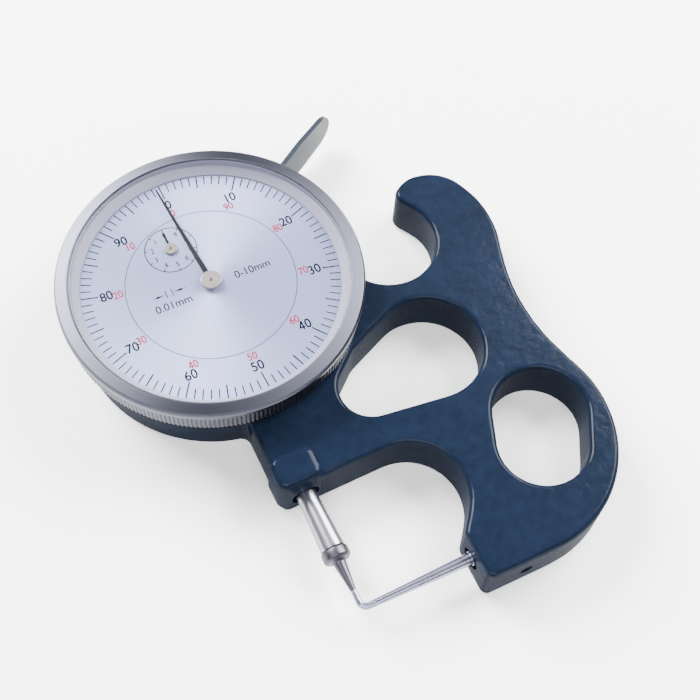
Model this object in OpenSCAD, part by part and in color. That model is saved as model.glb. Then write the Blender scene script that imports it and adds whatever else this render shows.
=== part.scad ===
// Dial thickness gauge with a lifting lever, lying on its back.
// The dial axis is +Z, the spindle runs along Y and the finger frame reaches out to +X.
// The origin is on the dial axis, in the plane of the flat back.

/* [Frame casting] */
// Thickness of the cast frame
frame_t = 11; // [10:0.5:12]
// Radius of the rounded edges of the casting
edge_r = 1; // [0.5:0.1:1.4]
// Radius of the round cup that holds the movement
cup_r = 27; // [26.5:0.1:27.5]
// Wall of the cup
cup_wall = 2.7; // [2.4:0.1:3]
// From the dial axis to the mouth of the stem
stem_drop = 43.6; // [42:0.2:46]
// Half the width of the stem block
stem_half_w = 5.2; // [4.6:0.1:6]
// Height of the stem block above the front of the frame
stem_rise = 0.9; // [0.4:0.1:1.5]
// From the dial axis out to the face of the lower jaw
jaw_reach = 22; // [20:0.5:24]
// From the measuring plane down to the bottom of the lower jaw
jaw_depth = 9.9; // [9:0.1:12]
// Radius of the throat arch
throat_r = 10.7; // [9:0.1:11]
// Radius of the palm lobe at the lower right
lobe_r = 23.6; // [22.5:0.1:24.5]
// Radius of the waist between the palm lobe and the hook
waist_r = 42; // [36:1:50]
// Radius of the outer side of the hook
hook_r = 20.8; // [20:0.1:21.2]
// Radius of the notch inside the hook
notch_r = 10; // [8.5:0.1:10]
// Radius of the large end of the upper finger hole
upper_hole_r = 10.8; // [9:0.1:11.4]
// Radius of the lower finger hole
lower_hole_r = 9; // [7.5:0.1:9.6]

/* [Spindle and contacts] */
// Measuring range, the travel of the spindle
travel = 10; // [8:0.5:10]
// Diameter of the spindle in its bush
spindle_d = 4; // [3.5:0.1:4.2]
// Largest diameter of the tapered spindle end
spindle_end_d = 4.8; // [4.3:0.1:5]
// Bore of the stem mouth
mouth_d = 5.6; // [5.4:0.1:6.2]
// From the dial axis to the measuring plane
contact_drop = 64; // [62:0.5:66]
// Length of the contact point below its collar
contact_l = 6.1; // [5:0.1:7]
// Diameter of the collar on the contact point
collar_d = 5.3; // [4.8:0.1:6]
// Length of the collar
collar_l = 2.4; // [1.8:0.1:3]
// Diameter of the two measuring faces
face_d = 1.1; // [0.8:0.1:1.6]
// Diameter of the anvil rod where it leaves the jaw
anvil_d = 2.4; // [1.8:0.1:2.6]
// Height of the bent anvil tip above the axis of its rod
anvil_rise = 3.7; // [3:0.1:4.5]

/* [Dial and bezel] */
// Outer radius of the bezel
bezel_r = 29; // [28.6:0.1:30]
// Height of the bezel
bezel_h = 6.9; // [6.7:0.1:8]
// Radius of the fixed inner dial
inner_dial_r = 16.5; // [15.5:0.1:17.5]
// Radius of the dial that shows inside the bezel
dial_show_r = 25.2; // [24.9:0.1:25.5]
// Thickness of both dials
dial_t = 0.4; // [0.3:0.05:0.5]
// Length of the main hand from its axis
hand_l = 24; // [20:0.5:24.4]
// Rest angle of the main hand, counter-clockwise from the top
hand_angle = 4.5; // [0:0.5:10]
// Radius of the main hand's hub
hub_r = 2; // [1.6:0.1:2.4]

/* [Lifting lever] */
// Thickness of the lever's thumb plate
lever_t = 1; // [0.8:0.1:1.5]
// Width of the thumb plate where it leaves the cup
lever_w = 7.9; // [6.5:0.1:8.2]
// Width of the thumb plate at its widest place
lever_mid_w = 9.1; // [8:0.1:9.4]
// From the pivot to the widest place of the thumb plate
lever_mid = 19; // [16:0.5:22]
// Length of the lever from its pivot to the rounded end
lever_l = 30; // [26:0.5:32]
// Angle of the thumb plate at rest
lever_angle = 32; // [30:0.5:33]

/* [Movement] */
// Teeth on each of the two large gears
gear_teeth = 100; // [100:10:100]
// Teeth on the centre pinion
centre_teeth = 10; // [10:1:10]
// Teeth on the rack pinion
rack_teeth = 16; // [16:1:16]
// Thickness of the large gears
gear_t = 0.8; // [0.6:0.1:1]
// Thickness of the main plate and the bridge
plate_t = 1; // [0.8:0.1:1.2]
// Radius of the gear arbors
arbor_r = 0.6; // [0.5:0.05:0.65]
// Radius of the arbor ends that carry the hands
arbor_tip_r = 0.35; // [0.3:0.05:0.45]

/* [Hidden] */
$fn = 64;

// Fits and gaps
run_gap = 0.05;
seat_gap = 0.02;
eps = 0.01;

// Levels along the dial axis
spindle_z = frame_t / 2;
cover_t = 1.6;
cock_z = cover_t + 0.5;
cock_t = 1.1;
cock_top = cock_z + cock_t;
cup_top = frame_t + 0.6;
rack_half_h = 1.9;
plate_z = spindle_z + rack_half_h + 1;
plate_top = plate_z + plate_t;
gear_z = plate_top + 0.5;
gear_top = gear_z + gear_t;
bridge_z = gear_top + 1.7;
bridge_top = bridge_z + plate_t;
bezel_z = cup_top + 0.5;
bezel_top = bezel_z + bezel_h;
dial_z = bezel_z + 3.4;
dial_top = dial_z + dial_t;
small_hand_z = dial_top + 0.1;
main_hand_z = dial_top + 0.65;
hand_t = 0.2;
arbor_top = main_hand_z + 0.6;
crystal_z = arbor_top + 0.25;

// Dial, bezel and the spigot that carries them, which stands inside both the cup and the bezel
ring_r = dial_show_r + 0.9;
pocket_r = ring_r + 0.8;
spigot_r = min(cup_r - 1.4, dial_show_r + 0.4);
spigot_wall = 1.3;
spigot_top = bezel_z + 2;
bore_r = spigot_r + 0.1;
side_h = 4.8;
wire_z = bezel_z + 1;

// Cup and cover
cavity_r = cup_r - cup_wall;
shelf_z = cup_top - 1;
cover_r = cavity_r + 0.9;
lug_r = 2.6;
lug_ring_r = cavity_r - 2.1;
lug_angles = [-5, 160, 235];
screw_r = 0.8;
screw_l = 3;
screw_head_r = 1.5;
screw_head_h = 0.8;
bridge_screw_l = 1.5;

// Measuring line
anvil_y = -contact_drop - anvil_rise;
jaw_bottom = -contact_drop - jaw_depth;
collar_y = -contact_drop + contact_l;
spindle_end = collar_y + collar_l;
stud_r = 1.2;
stud_l = 4;
mouth_r = mouth_d / 2;
bush_r = spindle_d / 2 + 1.4;
bush_seat = -stem_drop + travel + 0.6;
bush_top = -cavity_r + 5.3;

// Anvil and its set screw
shank_r = 1.5;
shank_l = 12;
anvil_seat_r = 2.2;
set_screw_r = 1.25;
set_screw_at = 8.3;
set_screw_x = jaw_reach + set_screw_at;
bend_r = 1.3;

// Frame outline: a belt round circles [x, y, radius], a negative radius where the belt bends inwards
neck_half_w = stem_half_w - 0.6;
neck_fillet = 2;
neck_fillet_y = -sqrt(pow(cup_r + neck_fillet, 2) - pow(neck_half_w + neck_fillet, 2));
jaw_corner = 2;
throat_c = [16.5, -stem_drop - throat_r + 0.3];
lobe_c = [35.8, jaw_bottom + lobe_r];
hook_c = [38.6, -5.2];
hook_top_c = [48.9, 0.2];
hook_top_r = 9.2;
hook_nose_c = [48.9, 2.95];
hook_nose_r = 6.5;
hook_tip_c = [45.9, 6.08];
hook_tip_r = 2.2;
notch_c = [37, -2.7];
slab_cup_r = cup_r - 1;
waist_c = beside(lobe_c, lobe_r + waist_r + eps, hook_c, hook_r + waist_r + eps);
frame_outline = [
    [0, 0, slab_cup_r],
    [-neck_half_w - neck_fillet, neck_fillet_y, -neck_fillet],
    [-neck_half_w + 1.5, -stem_drop + 1.5, 1.5],
    [throat_c.x, throat_c.y, -throat_r],
    [jaw_reach + jaw_corner, -contact_drop - 1, jaw_corner],
    [jaw_reach + 1.5, jaw_bottom + 1.5, 1.5],
    [lobe_c.x, lobe_c.y, lobe_r],
    [waist_c.x, waist_c.y, -waist_r],
    [hook_c.x, hook_c.y, hook_r],
    [hook_top_c.x, hook_top_c.y, hook_top_r],
    [hook_nose_c.x, hook_nose_c.y, hook_nose_r],
    [hook_tip_c.x, hook_tip_c.y, hook_tip_r],
    [notch_c.x, notch_c.y, -notch_r]
];
stem_block_l = 7.4;
stem_top = -stem_drop + stem_block_l;
stem_corner = 2.2;
stem_edge_r = 1.7;
stem_outline = [
    [-stem_half_w + stem_corner, stem_top - stem_corner, stem_corner],
    [-stem_half_w + stem_corner, -stem_drop - 0.2 + stem_corner, stem_corner],
    [stem_half_w - 1 - stem_corner, -stem_drop - 0.2 + stem_corner, stem_corner],
    [stem_half_w - 1 - stem_corner, stem_top - stem_corner, stem_corner]
];
upper_hole = [
    [19.8, -30.6, 6.3],
    [33.6, -27.8, upper_hole_r],
    [22.5, -26, 4.6]
];
lower_hole = [
    [46.6, -49.1, lower_hole_r + 0.2],
    [44.1, -54.5, lower_hole_r - 0.2]
];

// Gear train: one turn of the rack pinion for the full travel, one turn of the main hand for a tenth of it
gear_m = 0.2;
rack_pitch = 10 / rack_teeth;
rack_r = rack_pitch * rack_teeth / (2 * PI);
gear_r = gear_m * gear_teeth / 2;
centre_r = gear_m * centre_teeth / 2;
centre_distance = gear_r + centre_r;
counter_turn = 113;
counter_at = centre_distance * [cos(counter_turn), sin(counter_turn)];
hair_turn = -50.5;
hair_at = centre_distance * [cos(hair_turn), sin(hair_turn)];
gear_ratio = gear_teeth / centre_teeth;
hair_phase = hair_turn + 180 * (1 + 1 / gear_teeth) - (counter_turn - hair_turn) / gear_ratio;
counter_phase = counter_turn + 180 * (1 + 1 / gear_teeth);
rack_line = counter_at.x + rack_r;
rack_bottom = -4;
pinion_face = 2.4;

// Lifting lever: its finger pushes the dog on the spindle, level with the pivot at half travel
pivot_turn = 46.26;
pivot_inset = 1.88;
pivot_at = on_ring(cavity_r - pivot_inset, pivot_turn);
pivot_r = 1.5;
lever_hub_r = 2.6;
lever_low = cover_t + 0.6;
lever_high = plate_z - 0.3;
finger_r = 1.1;
finger_t = 1.2;
finger_tip = [0, pivot_at.y - travel / 2];
lever_swing = 2 * atan(travel / 2 / pivot_at.x);
lift_gap = 0.15;
dog_y = finger_tip.y + finger_r + lift_gap;
dog_h = 0.95;
rack_top = dog_y + dog_h;
plate_offset = 0.8;
pad_gap = 4.5;
slot_gap = 0.5;

// Guide pin, its slotted block and the return spring
guide_y = -10;
guide_r = 0.8;
block_x = 6.8;
block_w = 2;
block_end = 2;
block_half_h = 1.8;
spring_x = bush_r + 1.8;
spring_r = 1.1;
wire_r = 0.25;
post_at = [spring_x, -cavity_r + 3];
post_r = 0.6;

// Hairspring
hair_inner = 1.15;
hair_outer = 4.6;
hair_strip = 0.12;
hair_steps = 120;

// Bridge
pillar_at = [[14, 6], [9, 13.5], [-14, -6], [-8, -13.5]];
pillar_r = 1.5;
foot_at = [[10.4, 8.8], [-10.4, -8.8], [-8, 2]];

// Angle a brought into the range from 0 to 360
function wrap(a) = a - 360 * floor(a / 360);

// The centre to the right of the line from p to q, at distance a from p and b from q
function beside(p, a, q, b) =
    let (d = norm(q - p), u = (q - p) / d, s = (a * a - b * b + d * d) / (2 * d), h = sqrt(a * a - s * s))
    p + s * u + h * [u.y, -u.x];

// Direction of the left-hand normal of the straight run from circle a to circle b
function run_normal(a, b) =
    let (d = [b.x - a.x, b.y - a.y])
    atan2(d.y, d.x) + acos((b[2] - a[2]) / norm(d));

// Points of a belt round the circles c, drawn in by inset, with a point every step degrees of turn
function belt(c, inset = 0, step = 10) = [
    for (i = [0:len(c) - 1])
        let (
            me = c[i],
            from = run_normal(c[(i + len(c) - 1) % len(c)], me),
            to = run_normal(me, c[(i + 1) % len(c)]),
            turn = me[2] > 0 ? wrap(to - from) : -wrap(from - to),
            count = max(1, ceil(abs(turn) / step))
        )
        for (k = [0:count])
            let (a = from + turn * k / count)
            [me.x - (me[2] - inset) * cos(a), me.y - (me[2] - inset) * sin(a)]
];

// Solid between layers of points, each layer a closed ring with as many points as the next
module skin(layers) {
    n = len(layers[0]);
    last = len(layers) - 1;
    sides = [
        for (k = [0:last - 1], i = [0:n - 1])
            let (j = (i + 1) % n)
            [k * n + i, (k + 1) * n + i, (k + 1) * n + j, k * n + j]
    ];
    caps = [[for (i = [0:n - 1]) i], [for (i = [n - 1:-1:0]) last * n + i]];
    polyhedron([for (layer = layers) each layer], concat(sides, caps), convexity = 8);
}

// A ring of plan points lifted to height z
function lifted(points, z) = [for (p = points) [p.x, p.y, z]];

// Steps of a quarter round
round_count = 2;
round_steps = [0:round_count];
function quarter(k) = 90 * k / round_count;

// Plate with rounded edges inside the belt c
module rounded_slab(c, z0, z1, r) {
    skin(concat(
        [for (k = round_steps) lifted(belt(c, r * (1 - sin(quarter(k)))), z0 + r * (1 - cos(quarter(k))))],
        [for (k = round_steps) lifted(belt(c, r * (1 - cos(quarter(k)))), z1 - r * (1 - sin(quarter(k))))]
    ));
}

// Opening inside the belt c, with rounded rims at both faces
module rounded_opening(c, z0, z1, r) {
    skin(concat(
        [lifted(belt(c, -r), z0 - 1)],
        [for (k = round_steps) lifted(belt(c, -r * (1 - sin(quarter(k)))), z0 + r * (1 - cos(quarter(k))))],
        [for (k = round_steps) lifted(belt(c, -r * (1 - cos(quarter(k)))), z1 - r * (1 - sin(quarter(k))))],
        [lifted(belt(c, -r), z1 + 1)]
    ));
}

// Upright round bar at plan point p
module post(r, z0, z1, p = [0, 0]) {
    translate([p.x, p.y, z0]) cylinder(r = r, h = z1 - z0);
}

// Round bar along Y from y0 to y1, with radius r1 at y0 and r2 at y1
module bar_y(r1, r2, y0, y1, x = 0, z = spindle_z) {
    translate([x, y0, z]) rotate([-90, 0, 0]) cylinder(r1 = r1, r2 = r2, h = y1 - y0);
}

// Round bar along X from x0 to x1
module bar_x(r1, r2, x0, x1, y = 0, z = spindle_z) {
    translate([x0, y, z]) rotate([0, 90, 0]) cylinder(r1 = r1, r2 = r2, h = x1 - x0);
}

// Box between two corners
module box(low, high) {
    translate(low) cube(high - low);
}

// Flat plate inside the belt c
module plate(c, z0, z1) {
    translate([0, 0, z0]) linear_extrude(z1 - z0) polygon(belt(c));
}

// Outline of a spur gear; phase turns the first tooth from +X
function gear_points(teeth, m, phase) =
    let (r = m * teeth / 2, pitch = 360 / teeth)
    [
        for (i = [0:teeth - 1])
            for (side = [[-0.33, -1.25], [-0.09, 1], [0.09, 1], [0.33, -1.25]])
                let (a = phase + pitch * (i + side[0]))
                (r + side[1] * m) * [cos(a), sin(a)]
    ];

module gear(teeth, m, phase, z0, z1, p, bore_r) {
    translate([p.x, p.y, z0]) difference() {
        linear_extrude(z1 - z0) polygon(gear_points(teeth, m, phase));
        translate([0, 0, -1]) cylinder(r = bore_r, h = z1 - z0 + 2);
    }
}

// Screw with a round head seated at z, pointing down; its slot is cut across the head
module cheese_screw(p, z, head_r, head_h, shank_l) {
    difference() {
        union() {
            post(head_r, z, z + head_h, p);
            post(screw_r, z - shank_l, z + eps, p);
        }
        translate([p.x - head_r - 1, p.y - 0.2, z + head_h / 2]) cube([2 * head_r + 2, 0.4, head_h]);
    }
}

function on_ring(r, a) = r * [cos(a), sin(a)];

// Plan point p turned by angle a about the origin
function turned(p, a) = [p.x * cos(a) - p.y * sin(a), p.x * sin(a) + p.y * cos(a)];

// Room in the wall of the cup for the lever's hub and for the swing of its plate
module lever_slot() {
    reach = 20;
    left = plate_offset + lever_t / 2 + slot_gap;
    right = plate_offset - lever_t / 2 - slot_gap;
    pressed = lever_angle - lever_swing;
    translate([pivot_at.x, pivot_at.y, cover_t - eps]) {
        linear_extrude(frame_t - 0.6 - cover_t) polygon([
            turned([0, right], pressed), turned([reach, right], pressed),
            turned([reach, left], lever_angle), turned([0, left], lever_angle)
        ]);
        cylinder(r = lever_hub_r + slot_gap, h = frame_t - 0.6 - cover_t);
    }
}

// Cup for the movement with the spigot that carries the bezel
module cup() {
    rotate_extrude() polygon([
        [0, 0], [cup_r - edge_r, 0], [cup_r - edge_r * 0.3, edge_r * 0.3], [cup_r, edge_r],
        [cup_r, cup_top], [spigot_r, cup_top], [spigot_r, spigot_top - 0.4],
        [spigot_r - 0.4, spigot_top], [0, spigot_top]
    ]);
}

// Rounded skin of the casting, with its finger holes, worked out as one mesh before the round bores are cut
module casting() {
    resize([0, 0, 0]) difference() {
        union() {
            rounded_slab(frame_outline, 0, frame_t, edge_r);
            rounded_slab(stem_outline, 0.4, frame_t + stem_rise, stem_edge_r);
        }
        rounded_opening(upper_hole, 0, frame_t, edge_r);
        rounded_opening(lower_hole, 0, frame_t, edge_r);
    }
}

module frame() color("#25415f") {
    difference() {
        union() {
            casting();
            cup();
        }
        post(cavity_r, cover_t - eps, shelf_z);
        post(min(cavity_r, spigot_r - spigot_wall), shelf_z - eps, spigot_top + 1);
        post(cover_r + run_gap, -1, cover_t);
        bar_y(mouth_r, mouth_r, -stem_drop - 2, bush_seat + eps);
        bar_y(bush_r, bush_r, bush_seat, -cavity_r + 3);
        lever_slot();
        wire_groove(spigot_r - 0.5, spigot_r + 1);
        bar_x(anvil_seat_r, anvil_seat_r, jaw_reach - 1, jaw_reach + 1.4, anvil_y);
        bar_x(shank_r + seat_gap, shank_r + seat_gap, jaw_reach + 1.3, jaw_reach + shank_l, anvil_y);
        bar_y(set_screw_r + seat_gap, set_screw_r + seat_gap, jaw_bottom - 1, anvil_y, set_screw_x);
    }
    for (a = lug_angles)
        difference() {
            intersection() {
                post(lug_r, cover_t, plate_z, on_ring(lug_ring_r, a));
                post(cavity_r + cup_wall / 2, 0, plate_z + 1);
            }
            post(screw_r + seat_gap, cover_t - 1, plate_z + 1, on_ring(lug_ring_r, a));
        }
}

// Space for the wire that holds the bezel on, between two radii
module wire_groove(r0, r1) {
    rotate_extrude() translate([r0, wire_z - 0.42]) square([r1 - r0, 0.84]);
}

// Back cover, flush with the back of the frame
module back_cover() color("#b9bcc0") {
    difference() {
        post(cover_r, 0, cover_t - seat_gap);
        for (a = lug_angles) translate([0, 0, -eps]) countersunk(on_ring(lug_ring_r, a), run_gap);
    }
}

// Countersunk screw head and shank, grown by a gap
module countersunk(p, gap) {
    translate([p.x, p.y, 0]) cylinder(r1 = screw_r + 0.9 + gap, r2 = screw_r + gap, h = 0.9);
    post(screw_r + gap, 0, cover_t + screw_l, p);
}

module cover_screws() color("#8f9296")
    for (a = lug_angles)
        difference() {
            countersunk(on_ring(lug_ring_r, a), 0);
            translate(on_ring(lug_ring_r, a)) translate([-2, -0.2, -1]) cube([4, 0.4, 1.3]);
        }

// Bush pressed into the stem, which guides the spindle
module stem_bush() color("#b08d4a") {
    difference() {
        bar_y(bush_r - seat_gap, bush_r - seat_gap, bush_seat, bush_top);
        bar_y(spindle_d / 2 + 0.03, spindle_d / 2 + 0.03, bush_seat - 1, bush_top + 1);
    }
}

// Spindle: a round rod below, a flat-sided rack above, with the dog that the lever lifts
module spindle() color("#c9ccd0") {
    difference() {
        union() {
            box([rack_line - gear_m, rack_bottom, spindle_z - rack_half_h],
                [spindle_d / 2, rack_top, spindle_z + rack_half_h]);
            box([-1.8, dog_y, lever_low - 0.2], [0.8, rack_top, spindle_z]);
            bar_y(spindle_d / 2, spindle_d / 2, spindle_end + travel, rack_bottom + 1);
            bar_y(spindle_end_d / 2, spindle_d / 2, spindle_end, spindle_end + travel + eps);
        }
        rack_gaps();
        bar_y(stud_r + seat_gap, stud_r + seat_gap, spindle_end - 1, spindle_end + stud_l + 0.2);
        bar_x(guide_r, guide_r, -spindle_d, spindle_d, guide_y);
    }
}

// Gaps between the teeth of the rack, in mesh with the rack pinion at rest
module rack_gaps() {
    for (i = [-22:2])
        translate([rack_line, counter_at.y + i * rack_pitch, spindle_z - rack_half_h - 1])
            linear_extrude(2 * rack_half_h + 2)
                polygon([
                    [-2 * gear_m, 0.28], [1.25 * gear_m, 0.1],
                    [1.25 * gear_m, -0.1], [-2 * gear_m, -0.28]
                ]);
}

// Contact point with its collar, screwed into the end of the spindle
module contact_point() color("#aeb2b8") {
    bar_y(stud_r, stud_r, spindle_end - eps, spindle_end + stud_l);
    translate([0, 0, spindle_z]) rotate([-90, 0, 0]) rotate_extrude() polygon([
        [0, -contact_drop + seat_gap], [face_d / 2, -contact_drop + seat_gap], [1.25, collar_y - 0.4],
        [1.6, collar_y], [collar_d / 2 - 0.5, collar_y], [collar_d / 2, collar_y + 0.5],
        [collar_d / 2, spindle_end - 0.4], [collar_d / 2 - 0.4, spindle_end], [0, spindle_end]
    ]);
}

// Cross pin that stops the spindle from turning and carries the return spring
module guide_pin() color("#9a9da2")
    bar_x(guide_r - seat_gap / 2, guide_r - seat_gap / 2, -spindle_d / 2, block_x + block_w - 0.2, guide_y);

// Slotted block under the main plate, in which the guide pin runs
module guide_block() color("#b08d4a") {
    half_slot = guide_r + run_gap;
    difference() {
        box([block_x, guide_y - block_end, spindle_z - block_half_h],
            [block_x + block_w, guide_y + travel + block_end, plate_z]);
        box([block_x - 1, guide_y - 1.2, spindle_z - half_slot],
            [block_x + block_w + 1, guide_y + travel + 1.2, spindle_z + half_slot]);
    }
}

// Extension spring between the post and the guide pin
module return_spring() color("#6f7378") {
    low = post_at.y + post_r + wire_r + 0.1;
    high = guide_y - guide_r - wire_r - 0.1;
    turns = 9;
    steps = 12 * turns;
    skin([
        for (k = [0:steps])
            let (a = 360 * k / 12, c = [cos(a), 0, sin(a)], y = low + (high - low) * k / steps)
            [for (s = [0:5]) [spring_x, y, spindle_z] + (spring_r + wire_r * cos(60 * s)) * c
                + [0, wire_r * sin(60 * s), 0]]
    ]);
}

module spring_post() color("#9a9da2") {
    post(post_r, spindle_z - 1.2, plate_top, post_at);
    post(post_r + 0.3, spindle_z - 1.6, spindle_z - 1.1, post_at);
}

// Bent anvil rod, clamped in the jaw
module anvil() color("#c3c6cb") {
    tip_r = face_d / 2;
    bar_y(tip_r + 0.1, tip_r, anvil_y + bend_r, -contact_drop);
    translate([bend_r, anvil_y + bend_r, spindle_z]) rotate([0, 0, 180]) rotate_extrude(angle = 90)
        translate([bend_r, 0]) circle(r = tip_r + 0.1);
    bar_x(tip_r + 0.1, anvil_d / 2, bend_r, jaw_reach, anvil_y);
    bar_x(anvil_d / 2 + 0.2, anvil_d / 2 + 0.2, jaw_reach, jaw_reach + 1.4, anvil_y);
    bar_x(shank_r, shank_r, jaw_reach + 1.4 - eps, jaw_reach + shank_l - 0.5, anvil_y);
}

module anvil_screw() color("#3b3d40") {
    difference() {
        bar_y(set_screw_r, set_screw_r, jaw_bottom + 0.8, anvil_y - shank_r, set_screw_x);
        translate([set_screw_x, jaw_bottom, spindle_z]) rotate([-90, 0, 0])
            cylinder(r = 0.75, h = 2.2, $fn = 6);
    }
}

// Thumb plate: widest in the middle, with a rounded end
module thumb_plate(start) {
    end_r = lever_w / 2;
    rotate([90, 0, 0]) translate([0, 0, -lever_t / 2]) linear_extrude(lever_t) polygon(concat(
        [[start, -lever_w / 2], [lever_mid, -lever_mid_w / 2]],
        [for (a = [-85:10:85]) [lever_l - end_r + end_r * cos(a), end_r * sin(a)]],
        [[lever_mid, lever_mid_w / 2], [start, lever_w / 2]]
    ));
}

// Lifting lever: a thumb plate outside, a hub on the pivot and a finger under the spindle's dog
module lifting_lever() color("#c4c7cc") {
    pad_z = lever_low + lever_w / 2;
    pad_start = cup_r - norm(pivot_at) + pad_gap;
    difference() {
        union() {
            post(lever_hub_r, lever_low, lever_high, pivot_at);
            translate([pivot_at.x, pivot_at.y, 0]) rotate([0, 0, lever_angle]) {
                box([0, plate_offset - lever_t / 2, lever_low],
                    [pad_start + 1, plate_offset + lever_t / 2, lever_high]);
                translate([0, plate_offset, pad_z]) thumb_plate(pad_start);
            }
            plate([[pivot_at.x, pivot_at.y, 2], [finger_tip.x, finger_tip.y, finger_r - 0.4]],
                lever_low, lever_low + finger_t);
            post(finger_r, lever_low, lever_low + finger_t, finger_tip);
        }
        post(pivot_r + run_gap, 0, plate_z, pivot_at);
    }
}

module lever_pivot() color("#9a9da2") {
    post(pivot_r, lever_low - 0.3, plate_top, pivot_at);
    post(pivot_r + 0.7, lever_low - 0.5, lever_low - 0.1, pivot_at);
}

// Main plate of the movement, on the lugs of the cup
module main_plate() color("#c2a35c") {
    difference() {
        post(cavity_r - 0.4, plate_z, plate_top);
        for (a = lug_angles) post(screw_r + run_gap, plate_z - 1, plate_top + 1, on_ring(lug_ring_r, a));
        for (p = [counter_at, [0, 0], hair_at]) post(arbor_r + run_gap, plate_z - 1, plate_top + 1, p);
        post(pivot_r + seat_gap, plate_z - 1, plate_top + 1, pivot_at);
        post(post_r + seat_gap, plate_z - 1, plate_top + 1, post_at);
        box([-bush_r - 0.4, -cavity_r - 1, plate_z - 1], [bush_r + 0.4, bush_top + 0.4, plate_top + 1]);
    }
}

module plate_screws() color("#8f9296")
    for (a = lug_angles)
        cheese_screw(on_ring(lug_ring_r, a), plate_top, screw_head_r, screw_head_h, screw_l);

// Cock that carries the lower pivot of the rack pinion
module pinion_cock() color("#c2a35c") {
    cock_post = counter_at - [4.2, 0];
    difference() {
        plate([[cock_post.x, cock_post.y, 1.9], [counter_at.x, counter_at.y, 1.4]], cock_z, cock_top);
        post(arbor_r - 0.2 + run_gap, 0, plate_z, counter_at);
    }
    post(1.4, cock_top - eps, plate_z, cock_post);
}

// Bridge over the gears
module bridge() color("#c2a35c") {
    edge = [pillar_at[0], pillar_at[1], counter_at, pillar_at[2], pillar_at[3], hair_at];
    difference() {
        plate([for (p = edge) [p.x, p.y, 2.6]], bridge_z, bridge_top);
        for (p = [counter_at, [0, 0], hair_at]) post(arbor_r + run_gap, bridge_z - 1, bridge_top + 1, p);
        for (p = pillar_at) post(screw_r + run_gap, bridge_z - 1, bridge_top + 1, p);
    }
}

module bridge_pillars() color("#c2a35c")
    for (p = pillar_at)
        difference() {
            post(pillar_r, plate_top, bridge_z, p);
            post(screw_r + seat_gap, plate_top + 0.4, bridge_z + 1, p);
        }

module bridge_screws() color("#8f9296")
    for (p = pillar_at)
        cheese_screw(p, bridge_top, screw_head_r - 0.1, screw_head_h, plate_t + bridge_screw_l);

// Rack pinion on the arbor that carries the revolution counter
module rack_pinion() color("#b9bcc0") {
    low = spindle_z - pinion_face / 2;
    gear(rack_teeth, rack_pitch / PI, 0, low, low + pinion_face, counter_at, arbor_r - eps);
    post(arbor_r, cock_top + 0.1, dial_z, counter_at);
    post(arbor_tip_r, dial_z - eps, small_hand_z + 0.5, counter_at);
    post(arbor_r - 0.2, cock_z + 0.2, cock_top + 0.2, counter_at);
}

module counter_gear() color("#c8a552")
    gear(gear_teeth, gear_m, counter_phase, gear_z, gear_top, counter_at, arbor_r + seat_gap);

// Small hand and the hub that holds it
module counter_hand() color("#2e2f33") {
    difference() {
        union() {
            post(1, small_hand_z, small_hand_z + hand_t, counter_at);
            translate([counter_at.x, counter_at.y, small_hand_z]) linear_extrude(hand_t)
                polygon([[-0.3, 0], [0.3, 0], [0.12, 4.4], [-0.12, 4.4]]);
        }
        post(arbor_tip_r + seat_gap, small_hand_z - 1, small_hand_z + 1, counter_at);
    }
}

module counter_hub() color("#a39a8c") {
    difference() {
        post(1.25, small_hand_z + hand_t, small_hand_z + 0.5, counter_at);
        post(arbor_tip_r + seat_gap, small_hand_z, small_hand_z + 1, counter_at);
    }
}

// Centre pinion and its arbor
module centre_pinion() color("#b9bcc0") {
    gear(centre_teeth, gear_m, counter_turn, gear_z - 0.2, gear_top + 0.2, [0, 0], arbor_r - 0.1);
    post(arbor_r, gear_top, dial_z, [0, 0]);
    post(arbor_tip_r, dial_z - eps, arbor_top, [0, 0]);
    post(arbor_r, plate_z + 0.2, gear_z, [0, 0]);
    post(arbor_r - 0.05, gear_z - eps, gear_top + eps, [0, 0]);
}

module main_hand() color("#2e2f33") {
    difference() {
        union() {
            post(hub_r - 0.5, dial_top + 0.15, main_hand_z + hand_t);
            rotate([0, 0, hand_angle]) translate([0, 0, main_hand_z]) linear_extrude(hand_t)
                polygon([[-0.55, 0], [0.55, 0], [0.14, hand_l], [-0.14, hand_l]]);
        }
        post(arbor_tip_r + seat_gap, dial_top - 1, arbor_top + 1);
    }
}

module main_hub() color("#d8c3ae") {
    difference() {
        post(hub_r, main_hand_z + hand_t, arbor_top);
        post(arbor_tip_r + seat_gap, dial_top, arbor_top + 1);
    }
}

// Second large gear, kept under light load by the hairspring to take up play
module hairspring_arbor() color("#b9bcc0") {
    post(arbor_r, plate_z + 0.2, bridge_top, hair_at);
    post(1, gear_top, gear_top + 1.3, hair_at);
}

module hairspring_gear() color("#c8a552")
    gear(gear_teeth, gear_m, hair_phase, gear_z, gear_top, hair_at, arbor_r + seat_gap);

// Flat spiral of the hairspring, as the point k steps along it, off from its inner side
function spiral(k, off) =
    (hair_inner + (hair_outer - hair_inner) * k / hair_steps + off) * [cos(15 * k), sin(15 * k)];

module hairspring() color("#4a5f8a")
    translate([hair_at.x, hair_at.y, gear_top + 0.5]) linear_extrude(0.6)
        polygon(concat(
            [for (k = [0:hair_steps]) spiral(k, 0)],
            [for (k = [hair_steps:-1:0]) spiral(k, hair_strip)]
        ));

module hairspring_stud() color("#9a9da2")
    post(0.5, gear_top + 0.4, bridge_z, hair_at + [hair_outer + 0.7, 0]);

// Fixed inner dial on its feet
module inner_dial() color("#d7dbe8") {
    difference() {
        post(inner_dial_r, dial_z, dial_top);
        for (p = [counter_at, [0, 0]]) post(arbor_r + 0.3, dial_z - 1, dial_top + 1, p);
    }
    for (p = foot_at) post(0.8, bridge_top, dial_z + eps, p);
}

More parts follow.
